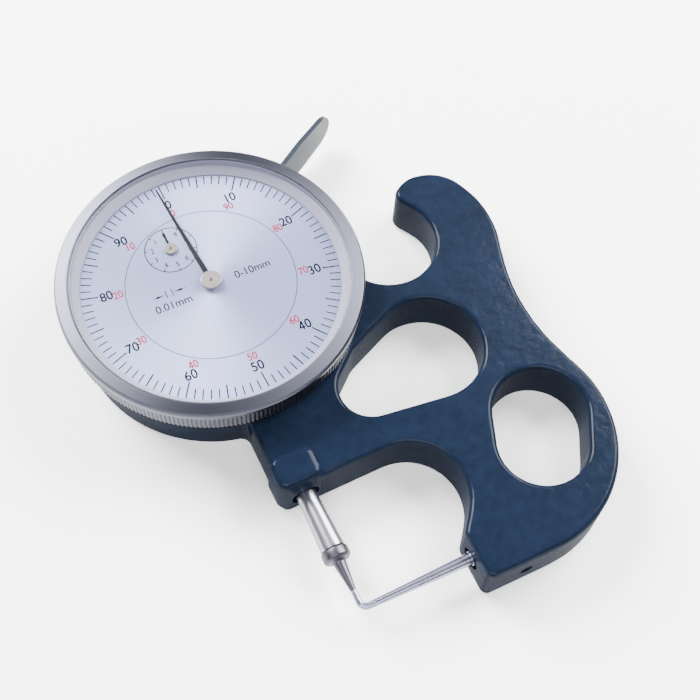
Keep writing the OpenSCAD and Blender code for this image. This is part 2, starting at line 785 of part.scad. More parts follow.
// Turning outer dial, held in the bezel
module dial_ring() color("#d7dbe8") {
    difference() {
        post(ring_r, dial_z, dial_top);
        post(inner_dial_r + 0.15, dial_z - 1, dial_top + 1);
    }
}

// Bezel: knurled rim below, lip above, pocket for the crystal
module bezel() color("#b4b6ba") {
    difference() {
        rotate_extrude() polygon([
            [bore_r, bezel_z], [bezel_r - 0.3, bezel_z], [bezel_r, bezel_z + 0.3],
            [bezel_r, bezel_z + side_h], [bezel_r - 0.3, bezel_z + side_h + 0.3],
            [bezel_r - 0.3, bezel_z + side_h + 0.7],
            [bezel_r - 0.5, bezel_top - 0.5], [bezel_r - 1, bezel_top],
            [pocket_r + 0.3, bezel_top], [pocket_r, bezel_top - 0.4], [pocket_r, crystal_z],
            [ring_r, crystal_z], [dial_show_r, dial_top + seat_gap + 0.2],
            [dial_show_r, dial_top + seat_gap],
            [ring_r + seat_gap, dial_top + seat_gap], [ring_r + seat_gap, dial_z], [bore_r, dial_z]
        ]);
        wire_groove(bore_r - 1, bore_r + 0.4);
    }
}

// Spring wire that keeps the bezel on its spigot
module bezel_wire() color("#8f9296")
    rotate_extrude() translate([spigot_r - 0.1, wire_z]) circle(r = 0.36);

// Acrylic crystal, slightly domed
module crystal() color([0.9, 0.93, 0.96, 0.35]) {
    dome = 0.35;
    edge_t = 0.8;
    glass_r = pocket_r - seat_gap;
    rings = 6;
    rotate_extrude() polygon(concat(
        [[0, crystal_z], [glass_r, crystal_z]],
        [for (k = [rings:-1:0]) [glass_r * k / rings, crystal_z + edge_t + dome * (1 - pow(k / rings, 2))]]
    ));
}

frame();
back_cover();
cover_screws();
stem_bush();
spindle();
contact_point();
guide_pin();
guide_block();
return_spring();
spring_post();
anvil();
anvil_screw();
lifting_lever();
lever_pivot();
main_plate();
plate_screws();
pinion_cock();
bridge();
bridge_pillars();
bridge_screws();
rack_pinion();
counter_gear();
counter_hand();
counter_hub();
centre_pinion();
main_hand();
main_hub();
hairspring_arbor();
hairspring_gear();
hairspring();
hairspring_stud();
inner_dial();
dial_ring();
bezel();
bezel_wire();
crystal();
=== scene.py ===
import math

import bmesh
import bpy
from mathutils import Matrix, Vector
from mathutils.kdtree import KDTree


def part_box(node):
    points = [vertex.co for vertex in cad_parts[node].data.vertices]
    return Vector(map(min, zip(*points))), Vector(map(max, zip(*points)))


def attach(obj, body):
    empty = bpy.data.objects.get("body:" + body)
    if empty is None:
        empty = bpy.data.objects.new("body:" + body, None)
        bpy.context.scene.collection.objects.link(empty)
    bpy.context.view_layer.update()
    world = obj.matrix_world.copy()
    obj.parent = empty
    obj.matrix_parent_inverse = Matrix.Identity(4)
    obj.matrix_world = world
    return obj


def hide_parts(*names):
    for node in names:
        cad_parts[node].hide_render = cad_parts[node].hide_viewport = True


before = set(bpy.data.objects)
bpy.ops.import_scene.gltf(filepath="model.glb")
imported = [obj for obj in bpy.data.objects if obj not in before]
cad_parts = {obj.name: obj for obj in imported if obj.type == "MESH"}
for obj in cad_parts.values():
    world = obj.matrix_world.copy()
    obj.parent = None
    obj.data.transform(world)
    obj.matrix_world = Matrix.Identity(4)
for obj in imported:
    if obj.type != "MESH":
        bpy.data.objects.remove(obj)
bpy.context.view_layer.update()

# A millimetre in Blender's metres, and sizes in millimetres that pieces share, read from the frame

MM = 0.001
DIAL_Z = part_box("inner_dial")[1][2] / MM
INNER_DIAL_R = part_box("inner_dial")[1][0] / MM
RING_DIAL_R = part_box("dial_ring")[1][0] / MM
RING_DIAL_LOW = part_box("dial_ring")[0][2] / MM
CRYSTAL_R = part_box("crystal")[1][0] / MM
CRYSTAL_LOW, CRYSTAL_HIGH = (corner[2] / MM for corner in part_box("crystal"))
BEZEL_LOW, BEZEL_HIGH = (corner[2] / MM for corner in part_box("bezel"))

# Materials


def linear(hex_colour):
    """sRGB hex to the linear values that shader sockets take."""
    out = []
    for i in (1, 3, 5):
        v = int(hex_colour[i : i + 2], 16) / 255
        out.append(v / 12.92 if v <= 0.04045 else ((v + 0.055) / 1.055) ** 2.4)
    return (*out, 1.0)


def add(tree, kind, sockets=None, stops=(), **settings):
    """One shader node: a socket takes a value or a (node, output) link, a ramp (place, colour) stops."""
    node = tree.nodes.new(kind)
    for name, value in settings.items():
        setattr(node, name, value)
    for k, (place, colour) in enumerate(stops):
        node.color_ramp.elements[k].position = place
        node.color_ramp.elements[k].color = colour
    for key, value in (sockets or {}).items():
        if isinstance(value, tuple) and hasattr(value[0], "outputs"):
            tree.links.new(value[0].outputs[value[1]], node.inputs[key])
        else:
            node.inputs[key].default_value = value
    return node


def material(name):
    mat = bpy.data.materials.new(name)
    mat.use_nodes = True
    mat.node_tree.nodes.clear()
    return mat, mat.node_tree


def per_metre(size_mm):
    """Scale of a noise whose grain is size_mm wide, on Object coordinates in metres."""
    return 1 / (size_mm * MM)


SHADE_WAVER = 0.07
ROUGH_WAVER = 0.04
GRAIN_DEPTH = 0.05


def plain(name, colour, metallic=0.0, roughness=0.4, grain=0.05, grain_mm=0.4, gloss=0.5):
    """Even finish whose shade, roughness and relief waver a little.

    Real ink, plate and lacquer have a finer grain than a pixel: grain_mm is as coarse as it needs to show.
    """
    mat, t = material(name)
    coords = add(t, "ShaderNodeTexCoord")
    noise = add(
        t,
        "ShaderNodeTexNoise",
        {"Vector": (coords, "Object"), "Scale": per_metre(grain_mm), "Detail": 3.0, "Roughness": 0.6},
    )
    tone = linear(colour)[:3]
    darker, lighter = (
        [min(1.0, (1 + waver) * c) for c in tone] + [1.0] for waver in (-SHADE_WAVER, SHADE_WAVER)
    )
    shade = add(t, "ShaderNodeValToRGB", {"Fac": (noise, 0)}, stops=((0.3, darker), (0.7, lighter)))
    rough = add(
        t,
        "ShaderNodeMapRange",
        {"Value": (noise, 0), "To Min": roughness - ROUGH_WAVER, "To Max": roughness + ROUGH_WAVER},
    )
    bump = add(
        t,
        "ShaderNodeBump",
        {"Height": (noise, 0), "Strength": grain, "Distance": GRAIN_DEPTH * grain_mm * MM},
    )
    shader = add(
        t,
        "ShaderNodeBsdfPrincipled",
        {
            "Base Color": (shade, 0),
            "Metallic": metallic,
            "Roughness": (rough, 0),
            "Specular IOR Level": gloss,
            "Normal": (bump, 0),
        },
    )
    add(t, "ShaderNodeOutputMaterial", {"Surface": (shader, 0)})
    return mat


PEEL_MM = 1.923
PEEL_DEEP_MM = 0.1
CLOUD_MM = 11.1


def enamel():
    """Stoved hammer enamel: small dimples and slow clouds of two blues under a thin clear coat."""
    mat, t = material("hammer_enamel")
    coords = add(t, "ShaderNodeTexCoord")
    peel = add(
        t,
        "ShaderNodeTexNoise",
        {
            "Vector": (coords, "Object"),
            "Scale": per_metre(PEEL_MM),
            "Detail": 2.0,
            "Roughness": 0.5,
            "Distortion": 0.4,
        },
    )
    cloud = add(
        t, "ShaderNodeTexNoise", {"Vector": (coords, "Object"), "Scale": per_metre(CLOUD_MM), "Detail": 3.0}
    )
    blotch = add(t, "ShaderNodeMixRGB", {0: 0.45, 1: (peel, 0), 2: (cloud, 0)})
    blue = add(
        t,
        "ShaderNodeValToRGB",
        {"Fac": (blotch, 0)},
        stops=((0.3, linear("#0b121d")), (0.7, linear("#101827"))),
    )
    bump = add(t, "ShaderNodeBump", {"Height": (peel, 0), "Strength": 0.6, "Distance": PEEL_DEEP_MM * MM})
    shader = add(
        t,
        "ShaderNodeBsdfPrincipled",
        {
            "Base Color": (blue, 0),
            "Roughness": 0.5,
            "Specular IOR Level": 0.0,
            "Coat Weight": 0.12,
            "Coat Roughness": 0.17,
            "Normal": (bump, 0),
            "Coat Normal": (bump, 0),
        },
    )
    add(t, "ShaderNodeOutputMaterial", {"Surface": (shader, 0)})
    return mat


TURNED_WAVER = 0.07
GROOVE_DEPTH = 0.03


def turned_metal(name, colour, roughness, strength, groove_mm, metallic=1.0):
    """Metal turned on a lathe about the dial axis: fine rings that draw each light out into a wedge.

    Real tool rings are about 0.1 mm apart, and these are drawn coarser so that they show.
    """
    mat, t = material(name)
    coords = add(t, "ShaderNodeTexCoord")
    parts = add(t, "ShaderNodeSeparateXYZ", {0: (coords, "Object")})
    flat = add(t, "ShaderNodeCombineXYZ", {"X": (parts, "X"), "Y": (parts, "Y")})
    radius = add(t, "ShaderNodeVectorMath", {0: (flat, 0)}, operation="LENGTH")
    ring = add(t, "ShaderNodeCombineXYZ", {"X": (radius, "Value"), "Y": (parts, "Z")})
    noise = add(
        t,
        "ShaderNodeTexNoise",
        {"Vector": (ring, 0), "Scale": per_metre(groove_mm), "Detail": 3.0, "Roughness": 0.7},
    )
    rough = add(
        t,
        "ShaderNodeMapRange",
        {"Value": (noise, 0), "To Min": roughness - TURNED_WAVER, "To Max": roughness + TURNED_WAVER},
    )
    bump = add(
        t,
        "ShaderNodeBump",
        {"Height": (noise, 0), "Strength": strength, "Distance": GROOVE_DEPTH * groove_mm * MM},
    )
    along = add(t, "ShaderNodeTangent", direction_type="RADIAL", axis="Z")
    shader = add(
        t,
        "ShaderNodeBsdfPrincipled",
        {
            "Base Color": linear(colour),
            "Metallic": metallic,
            "Roughness": (rough, 0),
            "Anisotropic": 0.7,
            "Tangent": (along, 0),
            "Normal": (bump, 0),
        },
    )
    add(t, "ShaderNodeOutputMaterial", {"Surface": (shader, 0)})
    return mat


CRYSTAL_MIRROR = 0.4


def acrylic():
    """Clear moulded acrylic: the light goes through to the dial, and a slanting face mirrors a little.

    Only outer faces mirror. The light isn't bent here, so inner ones would wrongly hold it back.
    """
    mat, t = material("clear_acrylic")
    clear = add(t, "ShaderNodeBsdfTransparent", {"Color": linear("#f7f8fb")})
    gloss = add(t, "ShaderNodeBsdfGlossy", {"Color": linear("#ffffff"), "Roughness": 0.03})
    fresnel = add(t, "ShaderNodeFresnel", {"IOR": 1.45})
    side = add(t, "ShaderNodeNewGeometry")
    outside = add(
        t, "ShaderNodeMapRange", {"Value": (side, "Backfacing"), "To Min": CRYSTAL_MIRROR, "To Max": 0.0}
    )
    mirror = add(t, "ShaderNodeMath", {0: (fresnel, 0), 1: (outside, 0)}, operation="MULTIPLY")
    mixed = add(t, "ShaderNodeMixShader", {0: (mirror, 0), 1: (clear, 0), 2: (gloss, 0)})
    add(t, "ShaderNodeOutputMaterial", {"Surface": (mixed, 0)})
    return mat


FINISHES = {
    # Hammer enamel: deep blue and softly mottled, with narrow glints along the rounded edges
    "enamel": enamel(),
    # Turned aluminium: grey, with pale wedges where its rings catch a light
    "bezel": turned_metal("turned_aluminium", "#464751", 0.32, 0.2, 0.25),
    # Knurled aluminium: the same metal, duller, its teeth light and dark by turns
    "knurl": plain("knurled_aluminium", "#4a4b54", 1.0, 0.38),
    # Sprayed matt lacquer: an even grey that mirrors nothing
    "slope": plain("matt_silver_lacquer", "#84828d", 0.0, 0.6, 0.05, 0.3),
    # Silvered and lacquered dial: cool white with faint wedges of light round its middle
    "dial": turned_metal("silvered_dial_lacquer", "#868ba7", 0.46, 0.03, 0.3, metallic=0.4),
    # Printing inks: matt, thin and without gloss
    "black_ink": plain("black_dial_ink", "#050609", 0.0, 0.6, gloss=0.1),
    "grey_ink": plain("grey_dial_ink", "#15161c", 0.0, 0.6, gloss=0.1),
    "red_ink": plain("red_dial_ink", "#8a1320", 0.0, 0.6, gloss=0.1),
    # Painted shadow in the gap between the two dials: a thin dark line
    "gap_shadow": plain("dial_gap_painted_shadow", "#2b2e38", 0.0, 0.6, gloss=0.1),
    # Ground steel: bright, with long clear bands of light
    "ground": plain("ground_steel", "#94939d", 1.0, 0.29, 0.06, 0.5),
    # Steel as turned: darker and duller than the spindle above it
    "dull": plain("dull_steel", "#4d4b53", 1.0, 0.38, 0.12, 0.35),
    # Steel polished by hand: pale, with slow soft unevenness along the rod
    "polished": plain("polished_steel", "#8e8fa4", 1.0, 0.27, 0.03, 2.5),
    # Satin chrome plate: a light grey sheen without a clear image
    "chrome": plain("satin_chrome_plate", "#20262f", 0.3, 0.42, 0.08, 0.8, gloss=0.15),
    # Satin steel: a fine even grain and a broad highlight
    "satin": plain("satin_steel", "#b4b7bb", 1.0, 0.32, 0.15, 0.3),
    # Blackened steel: dark grey with a low sheen
    "dark": plain("blackened_steel", "#3a3c40", 1.0, 0.4),
    # Satin brass: warm yellow with a soft highlight
    "brass": plain("satin_brass", "#c8a552", 1.0, 0.3, 0.1, 0.3),
    # Black lacquer on thin sheet: nearly black with a faint sheen
    "hand": plain("black_lacquered_hand", "#08090c", 0.0, 0.4, gloss=0.2),
    # Nickel plate with a warm tint: pale and smooth
    "nickel": plain("warm_nickel", "#a3958d", 1.0, 0.34),
    # Worn nickel over brass: a duller and yellower grey
    "counter_hub": plain("dull_nickel_brass", "#857e72", 1.0, 0.38),
    # Arbor steel: its cut end is a small dark dot
    "arbor_dot": plain("arbor_steel", "#57524d", 1.0, 0.45),
    # Drawn spring wire: grey with a bright line along each turn
    "spring": plain("spring_wire", "#74787d", 1.0, 0.3),
    # Steel blued by heat: dark blue and still metallic
    "blued": plain("blued_steel", "#2c3c63", 1.0, 0.3),
    # Clear acrylic: hardly seen, apart from its edge
    "acrylic": acrylic(),
}

# Mesh helpers


def piece(name, mesh, body, finishes, replaces=()):
    """Puts a finished mesh into the scene on one body of the gauge, all its faces in the first finish."""
    obj = bpy.data.objects.new(name, mesh)
    bpy.context.scene.collection.objects.link(obj)
    mesh.materials.clear()
    for finish in finishes:
        mesh.materials.append(FINISHES[finish])
    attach(obj, body)
    if replaces:
        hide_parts(*replaces)


def mesh_from(bm, name):
    bmesh.ops.recalc_face_normals(bm, faces=bm.faces)
    mesh = bpy.data.meshes.new(name)
    bm.to_mesh(mesh)
    bm.free()
    return mesh


def made_real(data, weigh_normals=False):
    """Mesh of a text, or of a mesh with its normals weighted by face area."""
    holder = bpy.data.objects.new("holder", data)
    bpy.context.scene.collection.objects.link(holder)
    if weigh_normals:
        weights = holder.modifiers.new("weights", "WEIGHTED_NORMAL")
        weights.keep_sharp = True
        weights.weight = 100
    done = bpy.data.meshes.new_from_object(holder.evaluated_get(bpy.context.evaluated_depsgraph_get()))
    bpy.data.objects.remove(holder)
    return done


def soften(mesh, sharp_deg):
    """Smooth shading, weighted by face area, with edges sharper than sharp_deg kept."""
    bm = bmesh.new()
    bm.from_mesh(mesh)
    for f in bm.faces:
        f.smooth = True
    for e in bm.edges:
        e.smooth = len(e.link_faces) == 2 and e.calc_face_angle(0) < math.radians(sharp_deg)
    bm.to_mesh(mesh)
    bm.free()
    done = made_real(mesh, weigh_normals=True)
    done.name = mesh.name
    bpy.data.meshes.remove(mesh)
    return done


def break_edges(bm, edges, offset_mm, segments):
    """Rounds the given edges."""
    bmesh.ops.bevel(
        bm,
        geom=edges,
        offset=offset_mm * MM,
        segments=segments,
        profile=0.5,
        affect="EDGES",
        clamp_overlap=True,
        material=-1,
    )


ROUND_STEPS = 256


def full_turn(bm, geom, centre, steps=ROUND_STEPS):
    """Spins a profile once round an upright axis."""
    bmesh.ops.spin(
        bm,
        geom=geom,
        cent=centre,
        axis=(0, 0, 1),
        angle=2 * math.pi,
        steps=steps,
        use_merge=True,
    )


CHORD_CUTS = 3
SHORT_CHORD = 0.8
SHARPEST_BEND_DEG = 20
UNEVEN_CHORDS = 2.2
LEVEL_WITHIN = 0.0001
SAME_POINT = 0.002
FACES_UP = 0.999


def curve_direction(vert, chords):
    """Direction of the curve at one point of a level outline, from the two chords that meet there."""
    here = [e for e in vert.link_edges if e in chords]
    if len(here) != 2:
        return None
    ways = [(vert.co - here[0].other_vert(vert).co), (here[1].other_vert(vert).co - vert.co)]
    lengths = [w.length for w in ways]
    if ways[0].angle(ways[1]) > math.radians(SHARPEST_BEND_DEG):
        return None
    if max(lengths) > UNEVEN_CHORDS * min(lengths):
        return ways[lengths.index(max(lengths))].normalized()
    return (ways[0].normalized() * lengths[1] + ways[1].normalized() * lengths[0]).normalized()


def is_chord(e):
    """Whether an edge is a level, longish chord of a wall's outline."""
    return (
        len(e.link_faces) == 2
        and abs(e.verts[0].co.z - e.verts[1].co.z) < LEVEL_WITHIN * MM
        and e.calc_length() > SHORT_CHORD * MM
        and any(abs(f.normal.z) < FACES_UP for f in e.link_faces)
        and all(abs(f.normal.z) > FACES_UP or len(f.verts) < 5 for f in e.link_faces)
    )


def round_out(bm):
    """Sets points on the curves that the straight chords of a cast outline cut short."""
    bm.normal_update()
    chords = {e for e in bm.edges if is_chord(e)}
    aims = {v: curve_direction(v, chords) for e in chords for v in e.verts}
    moves = []
    for e in chords:
        a, b = (v.co.copy() for v in e.verts)
        run = b - a
        ends = []
        for v in e.verts:
            aim = aims[v] or run.normalized()
            ends.append(aim if aim.dot(run) > 0 else -aim)
        # A cubic that leaves and meets both ends of the chord in the curve's own direction
        for k in range(1, CHORD_CUTS + 1):
            t = k / (CHORD_CUTS + 1)
            lift = run.length * (t * (1 - t) ** 2 * ends[0] - t * t * (1 - t) * ends[1])
            moves.append((a + t * run, a + (3 - 2 * t) * t * t * run + lift))
    near = KDTree(len(moves))
    for i, (start, _) in enumerate(moves):
        near.insert(start, i)
    near.balance()
    old = set(bm.verts)
    cut = [e for e in bm.edges if e in chords]
    bmesh.ops.subdivide_edges(bm, edges=cut, cuts=CHORD_CUTS, use_grid_fill=True)
    for v in bm.verts:
        if v not in old:
            _, i, gap = near.find(v.co)
            if gap < SAME_POINT * MM:
                v.co = moves[i][1]


WELD = 0.0004
FLAT_DEG = 0.4


def copy_of(node, bevel_mm=0.0, bevel_over=35, sharp_deg=40, segments=2, curved=False):
    """Mesh of a CAD node with its points merged, and its hard edges broken by a small round."""
    bm = bmesh.new()
    bm.from_mesh(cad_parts[node].data)
    bmesh.ops.remove_doubles(bm, verts=bm.verts, dist=WELD * MM)
    bmesh.ops.dissolve_limit(bm, angle_limit=math.radians(FLAT_DEG), verts=bm.verts, edges=bm.edges)
    if curved:
        round_out(bm)
    if bevel_mm:
        over = math.radians(bevel_over)
        hard = [e for e in bm.edges if len(e.link_faces) == 2 and e.calc_face_angle(0) > over]
        break_edges(bm, hard, bevel_mm, segments)
    return soften(mesh_from(bm, node + "_finish"), sharp_deg)


def finished(node, body, finish, **how):
    """Dresses one CAD node in a finish, on a copy with softened edges."""
    piece(node + "_finish", copy_of(node, **how), body, [finish], (node,))


# Frame, spindle, anvil and lever

piece("frame_casting", copy_of("frame", sharp_deg=50, curved=True), "gauge_body", ["enamel"], ("frame",))
finished("back_cover", "gauge_body", "satin", bevel_mm=0.12)
finished("anvil", "gauge_body", "polished", sharp_deg=30)
finished("anvil_screw", "gauge_body", "dark", bevel_mm=0.08)
finished("spindle", "gauge_spindle", "ground", sharp_deg=30)
finished("contact_point", "gauge_spindle", "dull", bevel_mm=0.08, bevel_over=25, sharp_deg=30)
finished("lifting_lever", "lever", "chrome", bevel_mm=0.25, segments=3)

# Bezel ring: its rim is wider than the solid's, as the photograph shows it

RIM_OVER = 0.75
RIM_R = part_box("bezel")[1][0] / MM + RIM_OVER
RIM_LOW, RIM_TOP = BEZEL_LOW + 5.1, BEZEL_LOW + 5.9
RIM_BREAK_IN, RIM_BREAK_DOWN = 0.35, 0.4
UNDERCUT_IN, UNDERCUT_DOWN = 0.2, 0.35
KNURL_R = RIM_R - 0.5
KNURL_DEEP = 0.22
KNURL_ROOT = KNURL_R - KNURL_DEEP
KNURL_FOOT = KNURL_ROOT - 0.02
KNURL_LOW, KNURL_HIGH = BEZEL_LOW + 0.3, BEZEL_LOW + 4.4
KNURL_FADE = 0.15
KNURL_TEETH = 220
SKIRT_R = KNURL_ROOT - 0.03
SKIRT_HIGH = KNURL_HIGH + 0.1
SKIRT_BREAK_IN, SKIRT_BREAK_UP = 0.17, 0.25
SHOW_R = RING_DIAL_R - 0.9
BORE_R = SHOW_R + 0.5
SEAT_GAP = 0.02
LIP = 0.12
GAP_R = CRYSTAL_R + 0.2
GAP_FLOOR = BEZEL_HIGH - 0.3
LEDGE_Z = CRYSTAL_LOW - 0.04
LEDGE_WIDE = 0.3
SLOPE_FOOT = 0.2
CORNER_ROUND = 0.12
CORNER_STEPS = 4


def bezel_profile():
    """Skirt under the knurl, wide sloping rim, fine gap round the crystal, and the slope to the dial."""
    seat_r = CRYSTAL_R + SEAT_GAP
    recess_r = RING_DIAL_R + SEAT_GAP
    recess_z = DIAL_Z + SEAT_GAP
    return [
        (BORE_R, BEZEL_LOW),
        (SKIRT_R - SKIRT_BREAK_IN, BEZEL_LOW),
        (SKIRT_R, BEZEL_LOW + SKIRT_BREAK_UP),
        (SKIRT_R, SKIRT_HIGH),
        (RIM_R - UNDERCUT_IN, RIM_LOW - UNDERCUT_DOWN),
        (RIM_R, RIM_LOW),
        (RIM_R, RIM_TOP),
        (RIM_R - RIM_BREAK_IN, BEZEL_HIGH - RIM_BREAK_DOWN),
        (GAP_R + LIP, BEZEL_HIGH),
        (GAP_R, BEZEL_HIGH - LIP),
        (GAP_R, GAP_FLOOR),
        (seat_r, GAP_FLOOR),
        (seat_r, LEDGE_Z),
        (CRYSTAL_R - LEDGE_WIDE, LEDGE_Z),
        (SHOW_R, recess_z + SLOPE_FOOT),
        (SHOW_R, recess_z),
        (recess_r, recess_z),
        (recess_r, RING_DIAL_LOW),
        (BORE_R, RING_DIAL_LOW),
    ]


def ring_mesh():
    """The profile with its corners rounded, spun about the dial axis."""
    bm = bmesh.new()
    profile = bm.faces.new([bm.verts.new((r * MM, 0, z * MM)) for r, z in bezel_profile()])
    bmesh.ops.bevel(
        bm,
        geom=list(profile.verts),
        offset=CORNER_ROUND * MM,
        segments=CORNER_STEPS,
        profile=0.5,
        affect="VERTICES",
        clamp_overlap=True,
        material=-1,
    )
    bmesh.ops.delete(bm, geom=list(bm.faces), context="FACES_ONLY")
    full_turn(bm, list(bm.verts) + list(bm.edges), (0, 0, 0))
    return soften(mesh_from(bm, "bezel_ring"), sharp_deg=40)


LACQUER_R = CRYSTAL_R + 0.1
LACQUER_LOW, LACQUER_HIGH = DIAL_Z + 0.15, GAP_FLOOR - 0.05


def lacquered(face):
    """Whether a face of the ring is on the slope or on the crystal's seat above it."""
    return (
        face.center.xy.length < LACQUER_R * MM and LACQUER_LOW * MM < face.center.z < LACQUER_HIGH * MM
    )


ring = ring_mesh()
piece("bezel_ring", ring, "bezel_group", ["bezel", "slope"], ("bezel",))
for f in ring.polygons:
    f.material_index = 1 if lacquered(f) else 0


def knurl_mesh():
    """Straight knurl round the skirt of the bezel: a ring of flat-topped teeth, drawn up in one piece."""
    bm = bmesh.new()
    steps = 4 * KNURL_TEETH
    foot = bmesh.ops.create_circle(bm, segments=steps, radius=KNURL_FOOT * MM)["verts"]
    bmesh.ops.translate(bm, vec=(0, 0, KNURL_LOW * MM), verts=foot)
    row = list(bm.edges)
    crests = {KNURL_LOW + KNURL_FADE: KNURL_R, KNURL_HIGH - KNURL_FADE: KNURL_R, KNURL_HIGH: KNURL_FOOT}
    for height, crest in crests.items():
        grown = bmesh.ops.extrude_edge_only(bm, edges=row)["geom"]
        row = [g for g in grown if isinstance(g, bmesh.types.BMEdge)]
        for v in (g for g in grown if isinstance(g, bmesh.types.BMVert)):
            turn = math.atan2(v.co.y, v.co.x)
            step = round(turn / (2 * math.pi) * steps) % 4
            r = crest if step in (1, 2) else min(crest, KNURL_ROOT)
            v.co = Vector((r * math.cos(turn), r * math.sin(turn), height)) * MM
    return mesh_from(bm, "bezel_knurl")


piece("bezel_knurl", knurl_mesh(), "bezel_group", ["knurl"])

# Crystal

CRYSTAL_EDGE = 0.15


def crystal_mesh():
    """Flat clear disc, smoothly round, with both its edges broken."""
    bm = bmesh.new()
    bmesh.ops.create_cone(
        bm,
        cap_ends=True,
        segments=ROUND_STEPS,
        radius1=CRYSTAL_R * MM,
        radius2=CRYSTAL_R * MM,
        depth=(CRYSTAL_HIGH - CRYSTAL_LOW) * MM,
    )
    bmesh.ops.translate(bm, vec=(0, 0, (CRYSTAL_LOW + CRYSTAL_HIGH) / 2 * MM), verts=bm.verts)
    rims = [e for e in bm.edges if any(len(f.verts) > 4 for f in e.link_faces)]
    break_edges(bm, rims, CRYSTAL_EDGE, segments=2)
    return soften(mesh_from(bm, "crystal_finish"), sharp_deg=30)


piece("crystal_finish", crystal_mesh(), "bezel_group", ["acrylic"], ("crystal",))

# Printing on the two dials

# The font's capitals stand this share of its size high
CAPITAL = 0.7
# Pitch, width and stroke of a figure drawn from bars, as shares of its height
FIGURE_PITCH, FIGURE_WIDE, FIGURE_STROKE = 0.72, 0.64, 0.11


class Print:
    """Flat ink shapes at one height, gathered into one mesh. Places and sizes are in mm."""

    def __init__(self, z):
        self.bm = bmesh.new()
        self.z = z * MM

    def patch(self, corners):
        self.bm.faces.new([self.bm.verts.new((x * MM, y * MM, self.z)) for x, y in corners])

    def bar(self, start, end, width):
        a, b = Vector(start), Vector(end)
        run = b - a
        place = Matrix.Translation(((a + b) / 2 * MM).to_3d() + Vector((0, 0, self.z)))
        turn = Matrix.Rotation(math.atan2(run.y, run.x), 4, "Z")
        stretch = Matrix.Diagonal((run.length * MM, width * MM, 1, 1))
        bmesh.ops.create_grid(
            self.bm, x_segments=1, y_segments=1, size=0.5, matrix=place @ turn @ stretch
        )

    def ring(self, centre, r, width, steps):
        middle = Vector((centre[0] * MM, centre[1] * MM, self.z))
        reach = (r - width / 2, r + width / 2)
        ends = [self.bm.verts.new(middle + Vector((q * MM, 0, 0))) for q in reach]
        line = self.bm.edges.new(ends)
        full_turn(self.bm, [*ends, line], middle, steps)

    def four(self, centre, height, width, stroke):
        """The figure 4 as three bars, because the font's own fills up when it is made bolder."""
        x, y = centre
        left, right, stem = x - width / 2, x + width / 2, x + 0.2 * width
        low, high, shelf = y - height / 2, y + height / 2, y - 0.22 * height
        self.bar((stem, low), (stem, high), stroke)
        self.bar((left, shelf), (right, shelf), stroke)
        self.bar((left + 0.4 * stroke, shelf), (stem - 0.1 * stroke, high - 0.3 * stroke), stroke)

    def text(self, words, centre, height, narrow=0.86, bold=0.0):
        """Words about a centre: narrow squeezes them sideways, bold widens each stroke on both sides."""
        if "4" in words:
            for k, figure in enumerate(words):
                shift = (k - (len(words) - 1) / 2) * FIGURE_PITCH * narrow * height
                spot = (centre[0] + shift, centre[1])
                if figure == "4":
                    stroke = FIGURE_STROKE * height + 2 * bold
                    self.four(spot, height, FIGURE_WIDE * narrow * height, stroke)
                else:
                    self.text(figure, spot, height, narrow, bold)
            return
        font = bpy.data.curves.new("words", "FONT")
        font.body = words
        font.size = height / CAPITAL * MM
        font.align_x, font.align_y = "CENTER", "CENTER"
        font.offset = bold * MM
        flat = made_real(font)
        bpy.data.curves.remove(font)
        xs, ys = ([v.co[i] for v in flat.vertices] for i in (0, 1))
        middle = Vector(((min(xs) + max(xs)) / 2, (min(ys) + max(ys)) / 2, 0))
        place = Matrix.Translation((centre[0] * MM, centre[1] * MM, self.z))
        flat.transform(place @ Matrix.Diagonal((narrow, 1, 1, 1)) @ Matrix.Translation(-middle))
        self.bm.from_mesh(flat)
        bpy.data.meshes.remove(flat)

    def mesh(self, name):
        """The finished print, every face upwards."""
        mesh = bpy.data.meshes.new(name)
        for f in self.bm.faces:
            f.normal_update()
            if f.normal.z < 0:
                f.normal_flip()
        self.bm.to_mesh(mesh)
        self.bm.free()
        return mesh


# Scale on the outer ring, which stands a little turned, as photographed

PRINT_Z = DIAL_Z + 0.012
RING_TURN_DEG = 2.34
DIVISIONS = 100
# Inner end and width of the marks at each tenth, fifth and single division
MARKS = {10: (21.7, 0.25), 5: (22.3, 0.25), 1: (23.0, 0.22)}
MARK_END = 25.05
BLACK_FIGURE_R, BLACK_FIGURE_H = 20.2, 1.95
RED_FIGURE_R, RED_FIGURE_H = 17.95, 1.6


def at(r, division):
    """Point at radius r, so many divisions clockwise from the zero mark."""
    a = math.radians(90 + RING_TURN_DEG - 360 * division / DIVISIONS)
    return Vector((r * math.cos(a), r * math.sin(a)))


black = Print(PRINT_Z)
red = Print(PRINT_Z)
for i in range(DIVISIONS):
    start, wide = next(mark for every, mark in MARKS.items() if i % every == 0)
    black.bar(at(start, i), at(MARK_END, i), wide)
for i in range(0, DIVISIONS, 10):
    black.text(str(i), at(BLACK_FIGURE_R, i), BLACK_FIGURE_H, narrow=0.92, bold=0.04)
    red.text(str((DIVISIONS - i) % DIVISIONS), at(RED_FIGURE_R, i), RED_FIGURE_H, bold=0.03)
piece("ring_scale_black", black.mesh("ring_scale_black"), "bezel_group", ["black_ink"])
piece("ring_scale_red", red.mesh("ring_scale_red"), "bezel_group", ["red_ink"])

# Counter of whole turns, and the pair of arrows that marks one division, on the inner dial

